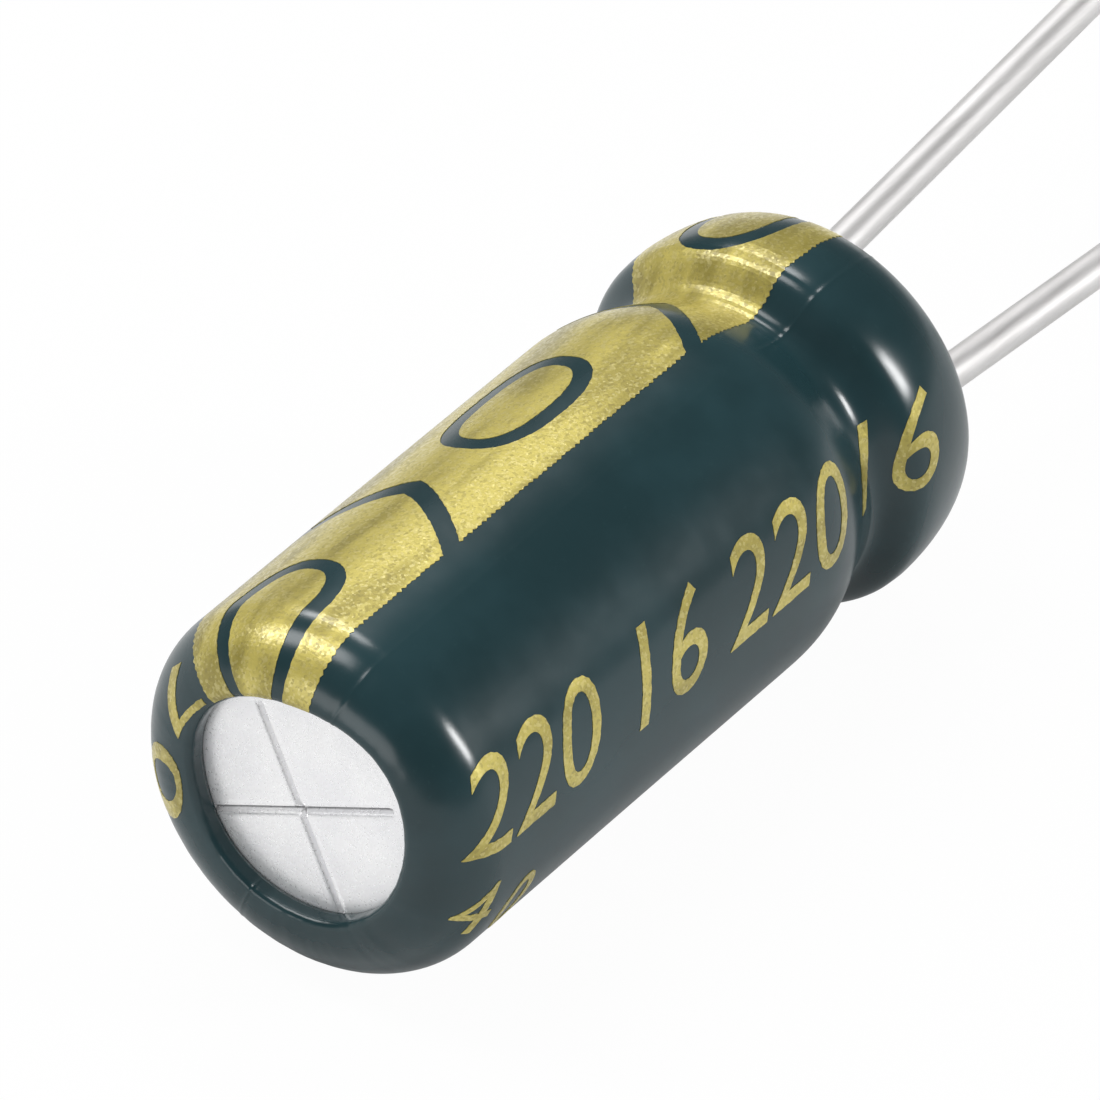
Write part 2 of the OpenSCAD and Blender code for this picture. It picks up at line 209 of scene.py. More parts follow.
# Map of the film, on which the print is placed, as shares of MAP_SPAN: the outside starts at MAP_START, and
# the inside lies MAP_INSIDE further along
FILM_MAP = "film"
MAP_SPAN = 40.0
MAP_TURN = -150.0
MAP_START = 0.1
MAP_INSIDE = 0.5


# Mesh and node helpers

def new_object(name, mesh):
    """A linked object for a mesh whose vertices are in metres."""
    made = bpy.data.objects.new(name, mesh)
    bpy.context.scene.collection.objects.link(made)
    return made


def mesh_of(name, points, faces):
    """A mesh from points in millimetres."""
    mesh = bpy.data.meshes.new(name)
    mesh.from_pydata((np.asarray(points, float) * MM).tolist(), [], [list(map(int, f)) for f in faces])
    mesh.validate()
    mesh.shade_smooth()
    return mesh


def put(tree, socket, value):
    """Links a socket, or sets a constant."""
    if isinstance(value, bpy.types.NodeSocket):
        tree.links.new(value, socket)
    else:
        socket.default_value = value


def add(tree, kind, inputs=None, **settings):
    """A node with its settings, and its inputs by name or number."""
    made = tree.nodes.new(kind)
    for name, value in settings.items():
        setattr(made, name, value)
    for key, value in (inputs or {}).items():
        put(tree, made.inputs[key], value)
    return made


def maths(tree, operation, a, b=0.0, c=0.0, **settings):
    """The result of an operation on two numbers, or on three for MULTIPLY_ADD."""
    inputs = {0: a, 1: b}
    if operation == "MULTIPLY_ADD":
        inputs[2] = c
    return add(tree, "ShaderNodeMath", inputs, operation=operation, **settings).outputs[0]


def ramp(tree, value, low, high, to_low=0.0, to_high=1.0):
    """value from low to high, turned softly into to_low to to_high and held there."""
    made = add(tree, "ShaderNodeMapRange", {0: value, 1: low, 2: high, 3: to_low, 4: to_high},
               interpolation_type="SMOOTHSTEP")
    return made.outputs[0]


def mix(tree, factor, a, b):
    """A colour between a and b."""
    made = add(tree, "ShaderNodeMix", data_type="RGBA", blend_type="MIX")
    for key, value in ((0, factor), (6, a), (7, b)):
        put(tree, made.inputs[key], value)
    return made.outputs[2]


def noise(tree, vector, scale, detail=2.0, roughness=0.5):
    """Random cloudy heights from 0 to 1."""
    return add(tree, "ShaderNodeTexNoise", {"Vector": vector, "Scale": scale, "Detail": detail,
                                            "Roughness": roughness}).outputs[0]


def stretched(tree, vector, scale):
    """Coordinates scaled by a different number along each axis."""
    return add(tree, "ShaderNodeVectorMath", {0: vector, 1: scale}, operation="MULTIPLY").outputs[0]


def new_material(name):
    """A material with its node tree and its shader."""
    made = bpy.data.materials.new(name)
    made.use_nodes = True
    tree = made.node_tree
    shader = tree.nodes["Principled BSDF"]
    return made, tree, shader


def object_place(tree):
    """Object coordinates in millimetres."""
    place = add(tree, "ShaderNodeTexCoord").outputs["Object"]
    return stretched(tree, place, (1 / MM, 1 / MM, 1 / MM))


def bumped(tree, shader, height, reach):
    """Gives a shader bump whose height 0 to 1 stands for reach millimetres."""
    made = add(tree, "ShaderNodeBump", {"Strength": 1.0, "Distance": reach * MM, "Height": height})
    put(tree, shader.inputs["Normal"], made.outputs[0])


def tree_with(name, sockets, result):
    """An empty geometry node tree with named inputs and one geometry output."""
    tree = bpy.data.node_groups.new(name, "GeometryNodeTree")
    for socket, kind in sockets:
        tree.interface.new_socket(socket, in_out="INPUT", socket_type="NodeSocket" + kind)
    tree.interface.new_socket(result, in_out="OUTPUT", socket_type="NodeSocketGeometry")
    return tree


def finished(tree, geometry, material):
    """Ends a geometry node tree with real geometry in one material."""
    real = add(tree, "GeometryNodeRealizeInstances", {0: geometry})
    coated = add(tree, "GeometryNodeSetMaterial", {"Geometry": real.outputs[0], "Material": material})
    put(tree, add(tree, "NodeGroupOutput").inputs[0], coated.outputs[0])


# Frame, camera, floor and lamps

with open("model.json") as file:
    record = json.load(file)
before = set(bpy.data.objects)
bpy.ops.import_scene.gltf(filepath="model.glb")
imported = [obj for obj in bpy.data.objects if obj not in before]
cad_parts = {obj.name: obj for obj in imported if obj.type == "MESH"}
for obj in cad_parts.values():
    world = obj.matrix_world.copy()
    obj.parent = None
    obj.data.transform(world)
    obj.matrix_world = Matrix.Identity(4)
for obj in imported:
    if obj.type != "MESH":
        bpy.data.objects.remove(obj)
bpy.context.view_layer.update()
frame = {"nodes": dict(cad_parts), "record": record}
scene = bpy.context.scene
scene.view_settings.view_transform = "Standard"

CAMERA_TURN = math.radians(-54.0918)
CAMERA_RISE = math.radians(37.4433)
CAMERA_BACK = 170.743
CAMERA_RIGHT = -0.14727
CAMERA_UP = 0.51925
CAMERA_LENS = 435.66
CAMERA_FILM = 36.0
FLOOR_HALF = 1500.0
FLOOR_GREY = 0.68
FLOOR_SHOWN = 0.97
FLOOR_MIRRORED = 0.15
WORLD_FILL = 0.32
LAMP_AWAY = 260.0


def aim(made, place, back, right):
    """Turns an object so that its local Z is back and its local X is right."""
    back, right = Vector(back).normalized(), Vector(right).normalized()
    up = back.cross(right)
    turned = Matrix((right, up, back)).transposed().to_4x4()
    made.matrix_world = Matrix.Translation(Vector(place) * MM) @ turned
    return made


def add_camera():
    """The camera of the photograph, as its turn and rise about the middle of the capacitor's body."""
    back = Vector((math.sin(CAMERA_TURN) * math.cos(CAMERA_RISE),
                   -math.cos(CAMERA_TURN) * math.cos(CAMERA_RISE),
                   math.sin(CAMERA_RISE)))
    right = Vector((math.cos(CAMERA_TURN), math.sin(CAMERA_TURN), 0))
    up = back.cross(right)
    target = Vector((-BODY_LEN / 2, 0, 0)) + right * CAMERA_RIGHT + up * CAMERA_UP
    data = bpy.data.cameras.new("camera")
    data.sensor_width = CAMERA_FILM
    data.lens = CAMERA_LENS
    data.clip_start = 0.01
    data.clip_end = 10
    camera = bpy.data.objects.new("camera", data)
    scene.collection.objects.link(camera)
    scene.camera = aim(camera, target + back * CAMERA_BACK, back, right)


def add_softbox(name, toward, size, radiance, along):
    """An area lamp that faces the capacitor from a direction, with its width along a given line."""
    toward = Vector(toward).normalized()
    data = bpy.data.lights.new(name, "AREA")
    data.shape = "RECTANGLE"
    data.size = size[0] * MM
    data.size_y = size[1] * MM
    data.energy = radiance * math.pi * data.size * data.size_y
    lamp = bpy.data.objects.new(name, data)
    scene.collection.objects.link(lamp)
    right = Vector(along) - toward * Vector(along).dot(toward)
    aim(lamp, Vector((-BODY_LEN / 2, 0, 0)) + toward * LAMP_AWAY, toward, right)
    lamp.visible_camera = False


def add_floor():
    """A pale floor that the camera sees as white, apart from the faint shadow of the capacitor."""
    corners = [(x * FLOOR_HALF, y * FLOOR_HALF, -CREST_R) for x, y in ((-1, -1), (1, -1), (1, 1), (-1, 1))]
    floor = new_object("floor", mesh_of("floor", corners, [(0, 1, 2, 3)]))
    paper, tree, shader = new_material("white_paper")
    shader.inputs["Base Color"].default_value = (FLOOR_GREY, FLOOR_GREY, FLOOR_GREY, 1)
    shader.inputs["Roughness"].default_value = 0.9
    shader.inputs["Specular IOR Level"].default_value = 0.1
    light = add(tree, "ShaderNodeEmission", {"Color": (1, 1, 1, 1), "Strength": 1.0})
    path = add(tree, "ShaderNodeLightPath")
    shown = maths(tree, "MULTIPLY", path.outputs["Is Camera Ray"], FLOOR_SHOWN)
    mirrored = maths(tree, "MULTIPLY", path.outputs["Is Glossy Ray"], FLOOR_MIRRORED)
    both = add(tree, "ShaderNodeMixShader", {0: maths(tree, "ADD", shown, mirrored, use_clamp=True),
                                             1: shader.outputs[0], 2: light.outputs[0]})
    put(tree, tree.nodes["Material Output"].inputs["Surface"], both.outputs[0])
    floor.data.materials.append(paper)


def light_world():
    """A world that is white to the camera, an even fill on the object, and darker overhead in reflections."""
    world = bpy.data.worlds.new("studio")
    world.use_nodes = True
    tree = world.node_tree
    path = add(tree, "ShaderNodeLightPath")
    toward = add(tree, "ShaderNodeTexCoord").outputs["Generated"]
    rise = add(tree, "ShaderNodeSeparateXYZ", {0: toward}).outputs[2]
    mirrored = ramp(tree, rise, -0.15, 0.35, 0.40, 0.09)
    over_fill = maths(tree, "SUBTRACT", mirrored, WORLD_FILL)
    filled = maths(tree, "MULTIPLY_ADD", path.outputs["Is Glossy Ray"], over_fill, WORLD_FILL)
    shown = add(tree, "ShaderNodeMix", {0: path.outputs["Is Camera Ray"], 2: filled, 3: 1.0},
                data_type="FLOAT")
    put(tree, tree.nodes["Background"].inputs["Strength"], shown.outputs[0])
    tree.nodes["Background"].inputs["Color"].default_value = (1, 1, 1, 1)
    scene.world = world


add_camera()
add_floor()
light_world()
add_softbox("lamp_overhead", (-0.2, 0.5, 0.84), size=(260, 85), radiance=7.0, along=(0, 1, -0.6))
add_softbox("lamp_side", (0.48, 0.4, 0.78), size=(180, 40), radiance=11.0, along=(0, 1, -0.6))
add_softbox("lamp_end", (-0.97, 0.1, 0.2), size=(220, 90), radiance=2.6, along=(0, 1, 0))
add_softbox("lamp_front", (0.413, -0.806, 0.422), size=(34, 90), radiance=36.0, along=(0.85, 0.52, 0))


# Materials

def green_film():
    """Dark green shrunk film, faintly clouded, with a soft gloss."""
    made, tree, shader = new_material("green_film")
    place = object_place(tree)
    cloud = noise(tree, place, scale=0.55, detail=3, roughness=0.55)
    fine = noise(tree, place, scale=9.0, detail=3, roughness=0.6)
    colour = mix(tree, ramp(tree, cloud, 0.35, 0.68), (0.011, 0.032, 0.037, 1), (0.015, 0.042, 0.049, 1))
    colour = mix(tree, ramp(tree, fine, 0.60, 0.80, 0, 0.15), colour, (0.03, 0.07, 0.075, 1))
    put(tree, shader.inputs["Base Color"], colour)
    smear = noise(tree, place, scale=2.2, detail=4, roughness=0.6)
    put(tree, shader.inputs["Roughness"], ramp(tree, smear, 0.3, 0.75, 0.20, 0.23))
    peel = noise(tree, place, scale=1.1, detail=1, roughness=0.4)
    grain = noise(tree, place, scale=26.0, detail=2, roughness=0.6)
    bumped(tree, shader, maths(tree, "MULTIPLY_ADD", grain, 0.12, peel), reach=0.0008)
    shader.inputs["IOR"].default_value = 1.48
    return made


def gold_ink():
    """Metallic gold print: flakes of uneven tone under the gloss of the film."""
    made, tree, shader = new_material("gold_ink")
    place = object_place(tree)
    flakes = add(tree, "ShaderNodeTexVoronoi", {"Vector": place, "Scale": 27.0}, feature="F1")
    tone = add(tree, "ShaderNodeSeparateColor", {0: flakes.outputs["Color"]}).outputs[0]
    slanted = add(tree, "ShaderNodeMapping", {"Vector": place, "Rotation": (0, 0, math.radians(-38)),
                                              "Scale": (0.35, 1.6, 1.0)}).outputs[0]
    broad = noise(tree, slanted, scale=1.0, detail=3, roughness=0.55)
    base = mix(tree, ramp(tree, broad, 0.36, 0.60), (0.30, 0.25, 0.045, 1), (0.52, 0.44, 0.10, 1))
    colour = mix(tree, ramp(tree, tone, 0.6, 1.0, 0, 0.30), base, (0.76, 0.68, 0.34, 1))
    colour = mix(tree, ramp(tree, tone, 0.0, 0.3, 0.35, 0), colour, (0.18, 0.15, 0.05, 1))
    put(tree, shader.inputs["Base Color"], colour)
    shader.inputs["Metallic"].default_value = 0.4
    put(tree, shader.inputs["Roughness"], ramp(tree, tone, 0.0, 1.0, 0.5, 0.3))
    tilt = noise(tree, place, scale=16.0, detail=2, roughness=0.6)
    bumped(tree, shader, maths(tree, "MULTIPLY_ADD", tone, 0.5, tilt), reach=0.004)
    shader.inputs["Coat Weight"].default_value = 0.5
    shader.inputs["Coat Roughness"].default_value = 0.18
    return made


def painted_score_shade(tree, place):
    """Painted shade: 1 in the bottom of the two lines scored into the can's end, which is coloured greyer as
    if shaded, and 0 elsewhere.
    """
    x, y, z = add(tree, "ShaderNodeSeparateXYZ", {0: place}).outputs
    a = math.radians(SCORE_TURN)
    off_first = maths(tree, "SUBTRACT", maths(tree, "MULTIPLY", y, math.cos(a)),
                      maths(tree, "MULTIPLY", z, math.sin(a)))
    off_second = maths(tree, "ADD", maths(tree, "MULTIPLY", y, math.sin(a)),
                       maths(tree, "MULTIPLY", z, math.cos(a)))
    first = maths(tree, "ABSOLUTE", off_first)
    second = maths(tree, "ABSOLUTE", off_second)
    in_width = ramp(tree, maths(tree, "MINIMUM", first, second), 0.008, 0.024, 1, 0)
    in_length = ramp(tree, maths(tree, "MAXIMUM", first, second),
                     SCORE_LEN / 2 - SCORE_RUN_OUT, SCORE_LEN / 2, 1, 0)
    on_end = maths(tree, "LESS_THAN", x, -BODY_LEN / 2)
    return maths(tree, "MULTIPLY", maths(tree, "MULTIPLY", in_width, in_length), on_end)


def drawn_aluminium():
    """Bright satin aluminium, with painted shade that colours the bottom of the scored lines greyer."""
    made, tree, shader = new_material("drawn_aluminium")
    place = object_place(tree)
    cloud = noise(tree, place, scale=1.4, detail=3, roughness=0.5)
    grain = noise(tree, place, scale=20.0, detail=3, roughness=0.6)
    bright = mix(tree, ramp(tree, cloud, 0.3, 0.7), (0.92, 0.92, 0.935, 1), (0.98, 0.98, 0.985, 1))
    # Painted shade: the bottom of the scored lines is coloured grey
    colour = mix(tree, painted_score_shade(tree, place), bright, (0.42, 0.42, 0.43, 1))
    put(tree, shader.inputs["Base Color"], colour)
    shader.inputs["Metallic"].default_value = 0.6
    put(tree, shader.inputs["Roughness"], ramp(tree, grain, 0.3, 0.7, 0.26, 0.40))
    bumped(tree, shader, grain, reach=0.0035)
    return made


def tinned_steel():
    """Drawn steel wire under a satin tin plate."""
    made, tree, shader = new_material("tinned_steel")
    place = object_place(tree)
    drawn = noise(tree, stretched(tree, place, (0.35, 14, 14)), scale=1.0, detail=3, roughness=0.6)
    cloud = noise(tree, stretched(tree, place, (0.7, 2, 2)), scale=1.0, detail=3, roughness=0.6)
    colour = mix(tree, ramp(tree, cloud, 0.3, 0.7), (0.64, 0.63, 0.625, 1), (0.71, 0.70, 0.695, 1))
    put(tree, shader.inputs["Base Color"], colour)
    shader.inputs["Metallic"].default_value = 0.9
    put(tree, shader.inputs["Roughness"], ramp(tree, drawn, 0.3, 0.7, 0.50, 0.60))
    bumped(tree, shader, drawn, reach=0.003)
    return made


def moulded_rubber():
    """Matt black rubber with a fine grain."""
    made, tree, shader = new_material("moulded_rubber")
    place = object_place(tree)
    grain = noise(tree, place, scale=22.0, detail=3, roughness=0.6)
    cloud = noise(tree, place, scale=1.5, detail=3)
    colour = mix(tree, ramp(tree, cloud, 0.3, 0.7), (0.022, 0.022, 0.024, 1), (0.042, 0.042, 0.044, 1))
    put(tree, shader.inputs["Base Color"], colour)
    put(tree, shader.inputs["Roughness"], ramp(tree, grain, 0.3, 0.7, 0.55, 0.75))
    bumped(tree, shader, grain, reach=0.006)
    return made


def plain_metal(name, dark, light, rough):
    """A rolled metal, with its fine lines along the axis."""
    made, tree, shader = new_material(name)
    place = object_place(tree)
    rolled = noise(tree, stretched(tree, place, (0.4, 10, 10)), scale=1.0, detail=3, roughness=0.6)
    put(tree, shader.inputs["Base Color"], mix(tree, ramp(tree, rolled, 0.3, 0.7), dark, light))
    shader.inputs["Metallic"].default_value = 1.0
    put(tree, shader.inputs["Roughness"], ramp(tree, rolled, 0.3, 0.7, rough - 0.06, rough + 0.08))
    bumped(tree, shader, rolled, reach=0.003)
    return made


def fibre_paper(name, dark, light):
    """Thin paper with its fibres along the axis."""
    made, tree, shader = new_material(name)
    place = object_place(tree)
    fibres = noise(tree, stretched(tree, place, (3, 9, 9)), scale=1.6, detail=4, roughness=0.7)
    put(tree, shader.inputs["Base Color"], mix(tree, ramp(tree, fibres, 0.3, 0.7), dark, light))
    put(tree, shader.inputs["Roughness"], ramp(tree, fibres, 0.3, 0.7, 0.6, 0.8))
    bumped(tree, shader, fibres, reach=0.008)
    return made


FINISHES = {
    "sleeve_film": green_film(),
    "gold_ink": gold_ink(),
    "can_metal": drawn_aluminium(),
    "stopper_rubber": moulded_rubber(),
    "tinned_wire": tinned_steel(),
    "tab_metal": plain_metal("tab_aluminium", (0.66, 0.66, 0.67, 1), (0.76, 0.76, 0.77, 1), 0.34),
    "anode_foil": plain_metal("etched_anode_foil", (0.36, 0.37, 0.38, 1), (0.46, 0.47, 0.48, 1), 0.62),
    "cathode_foil": plain_metal("etched_cathode_foil", (0.55, 0.56, 0.57, 1), (0.65, 0.66, 0.67, 1), 0.55),
    "separator_paper": fibre_paper("separator_paper", (0.64, 0.55, 0.37, 1), (0.78, 0.70, 0.52, 1)),
    "closing_tape": fibre_paper("closing_tape", (0.54, 0.40, 0.17, 1), (0.70, 0.55, 0.28, 1)),
}


# Film of the sleeve

def eased(t):
    """A share from 0 to 1 that starts and ends softly."""
    return (1 - np.cos(np.pi * np.asarray(t, float))) / 2


def shell_start(depth, rim_u, steps):
    """The shell's surface from the flat of the lead end over bead and groove to the barrel: [radius, u]."""
    a = np.linspace(0, np.pi / 2, steps[0])
    t = np.linspace(0, 1, steps[1])[1:]
    w = np.linspace(0, 1, steps[2])[1:] ** FLANK_SPACING
    bead = np.c_[CURL_MID_R + (BEAD_ROUND - depth) * np.sin(a), BEAD_U - (BEAD_U - rim_u) * np.cos(a)]
    face = np.c_[VALLEY_R + (CREST_R - VALLEY_R) * eased(1 - t) - depth, BEAD_U + (GROOVE_U - BEAD_U) * t]
    flank = np.c_[VALLEY_R + (BARREL_R - VALLEY_R) * eased(w ** FLANK_BEND) - depth,
                  GROOVE_U + GROOVE_FLANK * w]
    return np.vstack([bead, face, flank])


def shoulder(depth, end_u, corner_r, far):
    """A point far along the rounded shoulder and the flat inside it, and the turn of its normal."""
    quarter = corner_r * np.pi / 2
    turn = np.minimum(far, quarter) / corner_r
    flat = np.maximum(far - quarter, 0)
    r = BARREL_R - depth - corner_r * (1 - np.cos(turn)) - flat
    return r, end_u - corner_r * (1 - np.sin(turn)), turn


def shoulder_far(r, depth, corner_r):
    """How far along the shoulder it comes down to a radius."""
    drop = BARREL_R - depth - r
    if drop < corner_r:
        return corner_r * math.acos(1 - drop / corner_r)
    return corner_r * np.pi / 2 + drop - corner_r


def opening_r(turn):
    """Radius of the lip's edge, which the film shrank to a little off the axis and not quite round."""
    waves_in = ((1, LIP_SHIFT, LIP_SHIFT_TURN),) + LIP_WAVES
    return LIP_OPEN_R + sum(size * np.cos(n * np.radians(turn - peak)) for n, size, peak in waves_in)


def waves(rng, count, low, high):
    """Random smooth waves round the film, as a function of the turn in degrees."""
    steps = rng.integers(low, high, count)
    sizes = rng.uniform(0.4, 1, count)
    starts = rng.uniform(0, 2 * np.pi, count)
    sizes = sizes / np.sqrt((sizes ** 2).sum() / 2)
    return lambda turn: sum(size * np.cos(n * np.radians(turn) + start)
                            for n, size, start in zip(steps, sizes, starts))


def film_turns():
    """The columns' turns: even ones, and closer ones on the two lay-flat creases."""
    even = MAP_TURN + np.arange(FILM_COLUMNS) * 360 / FILM_COLUMNS
    close = np.array([crease + off for crease in CREASES for off in CREASE_COLUMNS])
    far = np.abs((even[:, None] - close[None, :] + 180) % 360 - 180).min(1) > COLUMN_ROOM
    return np.sort(np.r_[even[far], close])


class Film:
    """Rows of [s, r, u] for every column, outside and inside, and the closed mesh that they make."""

    def __init__(self):
        rng = np.random.default_rng(SEED)
        self.turns = film_turns()
        start = shell_start(0, 0, OUTER_START_ROWS)
        path = np.r_[0, np.cumsum(np.hypot(*np.diff(start, axis=0).T))]
        self.start_s = path - path[-1] + start[-1, 1]
        self.barrel_end = BODY_LEN - LIP_CORNER_R
        columns = [self.column(turn, start) for turn in self.turns]
        self.rows = np.array(columns).transpose(1, 0, 2)
        self.shape(rng)

    def column(self, turn, start):
        """One column's rows as [s, r, u, side], closed from the hem's edge round to it again."""
        open_r = float(opening_r(turn))
        corner = HEM_ROUND * 0.3
        hem = [[HEM_OPEN_R, HEM_ROUND],
               [HEM_OPEN_R + corner, corner],
               [HEM_OPEN_R + HEM_ROUND, 0],
               [(HEM_OPEN_R + CURL_MID_R) / 2, 0]]
        first_s = self.start_s[0]
        out = [[first_s - (CURL_MID_R - r), r, u, 0] for r, u in hem]
        out += [[s, r, u, 0] for s, (r, u) in zip(self.start_s, start)]
        barrel = np.linspace(start[-1, 1], self.barrel_end, BARREL_ROWS)[1:]
        out += [[u, BARREL_R, u, 0] for u in barrel]
        end = shoulder_far(open_r + LIP_ROUND, 0, LIP_CORNER_R)
        for part in np.linspace(0, 1, SHOULDER_ROWS)[1:]:
            r, u, tilt = shoulder(0, BODY_LEN, LIP_CORNER_R, end * part)
            out.append([self.barrel_end + end * part, r, u, 0])
        mid_r = r - LIP_ROUND * math.cos(tilt)
        mid_u = u - LIP_ROUND * math.sin(tilt)
        for t in np.linspace(tilt, np.pi, LIP_ROWS)[1:]:
            out.append([self.barrel_end + end + LIP_ROUND * (t - tilt),
                        mid_r + LIP_ROUND * math.cos(t),
                        mid_u + LIP_ROUND * math.sin(t), 0])
        edge_r = mid_r - LIP_ROUND
        inner_end = shoulder_far(edge_r, FILM_WALL, CAN_CORNER_R)
        inside = [shoulder(FILM_WALL, BODY_LEN - LIP_T, CAN_CORNER_R, inner_end * part)[:2]
                  for part in np.linspace(1, 0, INNER_SHOULDER_ROWS)]
        wall = np.linspace(out[-1][2], inside[0][1], WALL_ROWS)[1:-1]
        out += [[out[-1][0], edge_r, u, 0] for u in wall]
        inner = shell_start(FILM_WALL, HEM_T, INNER_START_ROWS)
        out += [[u, r, u, 1] for r, u in inside]
        out += [[u, r, u, 1] for r, u in inner[::-1]]
        out += [[out[-1][0], HEM_OPEN_R, HEM_T, 1]]
        return out

    def soften(self, s, r, u, outer):
        """Lets the film cut the corners of bead and groove, as a line along s averaged over a short way."""
        off = (self.turns - SOFT_AT + 180) % 360 - 180
        spread = SOFT_LEAST + (SOFT_MOST - SOFT_LEAST) * np.exp(-(off / SOFT_SPREAD) ** 2)
        reach = np.arange(-SOFT_REACH, SOFT_REACH + SOFT_STEP / 10, SOFT_STEP)
        for j, sigma in enumerate(spread):
            rows = np.flatnonzero(outer[:, j] & (s[:, j] < SOFT_READ_S))
            even = np.arange(s[rows[0], j] - SOFT_MARGIN, SOFT_READ_S + SOFT_MARGIN, SOFT_STEP)
            weights = np.exp(-0.5 * (reach / sigma) ** 2)
            line = np.convolve(np.interp(even, s[rows, j], r[rows, j]), weights / weights.sum(), "same")
            share = eased(np.clip((u[rows, j] - SOFT_FROM_U) / SOFT_FROM_RUN, 0, 1))
            share = share * (s[rows, j] < SOFT_LAST_S)
            r[rows, j] += share * (np.interp(s[rows, j], even, line) - r[rows, j])

    def shape(self, rng):
        """Moves the outer rows a little: soft corners, creases, waves, and fine puckers toward the lip."""
        s, r, u, side = self.rows.transpose(2, 0, 1)
        outer = (side == 0) & (s > self.start_s[0]) & (u > FLAT_U)
        r = r.copy()
        self.soften(s, r, u, outer)
        turn = self.turns[None, :]
        crease = np.zeros_like(turn)
        for place in CREASES:
            off = np.radians((turn - place + 180) % 360 - 180) * BARREL_R
            ridge = np.exp(-(off / CREASE_W) ** 2)
            dip = CREASE_DIP * np.exp(-((off - CREASE_DIP_OFF) / CREASE_DIP_W) ** 2)
            crease = crease + CREASE_PROUD * (ridge - dip)
        wide = waves(rng, count=5, low=2, high=7)
        fine = waves(rng, count=9, low=14, high=40)
        finer = waves(rng, count=12, low=40, high=84)
        wander = WANDER_TURN * np.sin(s * 0.9 + 1.3)
        near = np.clip((s - self.barrel_end) / PUCKER_RUN, 0, 1)
        pucker = FINE_PUCKER * fine(turn + wander * 0.3) + FINER_PUCKER * finer(turn + wander * 0.1)
        rise = WIDE_WAVE * wide(turn + wander) * np.clip(s / 3, 0, 1)
        rise = rise + near ** 1.5 * pucker
        ends = np.clip(np.maximum(near * 2, (CREASE_FADE_S - s) / CREASE_FADE_RUN), CREASE_LEAST, 1)
        rise = np.where(outer, rise + crease * ends, 0)
        along_r = np.gradient(r, axis=0)
        along_u = np.gradient(u, axis=0)
        size = np.maximum(np.hypot(along_r, along_u), 1e-9)
        self.r = r + rise * along_u / size
        self.u = u - rise * along_r / size
        self.s = s
        self.side = side

    def end_s(self, turn):
        """Where the shoulder turns into the lip's rounding at a turn, as a place along the film."""
        return self.barrel_end + np.array([shoulder_far(float(opening_r(t)) + LIP_ROUND, 0, LIP_CORNER_R)
                                           for t in turn])

    def mesh(self):
        """The closed mesh of the film, with the map for the print on it."""
        count, columns = self.r.shape
        a = np.radians(self.turns)[None, :]
        points = np.stack([-self.u, self.r * np.sin(a), self.r * np.cos(a)], 2).reshape(-1, 3)
        i, j = (grid.ravel() for grid in np.meshgrid(np.arange(count), np.arange(columns), indexing="ij"))
        k = (i + 1) % count
        m = (j + 1) % columns
        faces = np.stack([i * columns + j, k * columns + j, k * columns + m, i * columns + m], 1)
        mesh = mesh_of("sleeve_film", points, faces)
        y = np.radians(self.turns - MAP_TURN) * BARREL_R
        next_y = y[m] + (m == 0) * 2 * np.pi * BARREL_R
        across = np.stack([y[j], y[j], next_y, next_y], 1)
        row = np.stack([i, k, k, i], 1)
        column = np.stack([j, j, m, m], 1)
        inside = self.side[i, j].astype(bool) | self.side[k, j].astype(bool)
        along = self.s[row, column] / MAP_SPAN + MAP_START + MAP_INSIDE * inside[:, None]
        layer = mesh.uv_layers.new(name=FILM_MAP)
        layer.uv.foreach_set("vector", np.stack([along, across / MAP_SPAN], 2).astype(np.float32).ravel())
        mesh.flip_normals()
        return mesh


film = Film()
sleeve = new_object("sleeve_film", film.mesh())


# Print that follows the film

def rough_line(points, rng, step=ROUGH_STEP, size=BARE_ROUGHNESS):
    """A closed line cut into short steps, with the ragged edge of printed ink."""
    out = []
    closed = list(points) + [points[0]]
    for a, b in zip(closed, closed[1:]):
        a, b = np.array(a, float), np.array(b, float)
        length = math.hypot(*(b - a))
        side = np.array([-(b - a)[1], (b - a)[0]]) / max(length, 1e-9)
        count = max(1, round(length / step))
        out += [a + (b - a) * i / count + side * rng.uniform(-size, size) * (i > 0) for i in range(count)]
    return out


def oval(middle, length, width, rng):
    """A flat-sided oval about a place on the stripe's middle."""
    def rounded(v):
        return np.sign(v) * np.abs(v) ** OVAL_SQUARENESS

    a = np.linspace(0, 2 * np.pi, OVAL_POINTS + 1)[:-1]
    line = np.c_[middle + length / 2 * rounded(np.cos(a)), width / 2 * rounded(np.sin(a))]
    past = np.maximum(line[:, 0] - film.barrel_end, 0)
    line[:, 0] += (SHOULDER_STRETCH - 1) * past
    return rough_line(line, rng)


def arrow(tip, rng):
    """A bare arrow that points to the lead end, and runs past both edges of the stripe."""
    reach = STRIPE_W / 2 + ARROW_PAST
    y = np.linspace(-reach, reach, ARROW_POINTS)
    s = tip + ARROW_SLOPE * np.hypot(y, ARROW_TIP_ROUND) + ARROW_BEND * y ** 2
    points = np.vstack([np.c_[s, y], np.c_[s + ARROW_LINE, y][::-1]])
    return rough_line(points, rng)


def inside_line(points, line):
    """Which points lie inside a closed line."""
    x, y = points[:, 0], points[:, 1]
    found = np.zeros(len(points), bool)
    for (ax, ay), (bx, by) in zip(line, list(line[1:]) + [line[0]]):
        crosses = (ay > y) != (by > y)
        if crosses.any():
            found ^= crosses & (x < (bx - ax) * (y - ay) / (by - ay + 1e-30) + ax)
    return found


def doubled_areas(spots, faces):
    """Twice the area of each flat triangle, negative where it runs clockwise."""
    a, b, c = spots[faces].transpose(1, 0, 2)
    return (b - a)[:, 0] * (c - a)[:, 1] - (b - a)[:, 1] * (c - a)[:, 0]


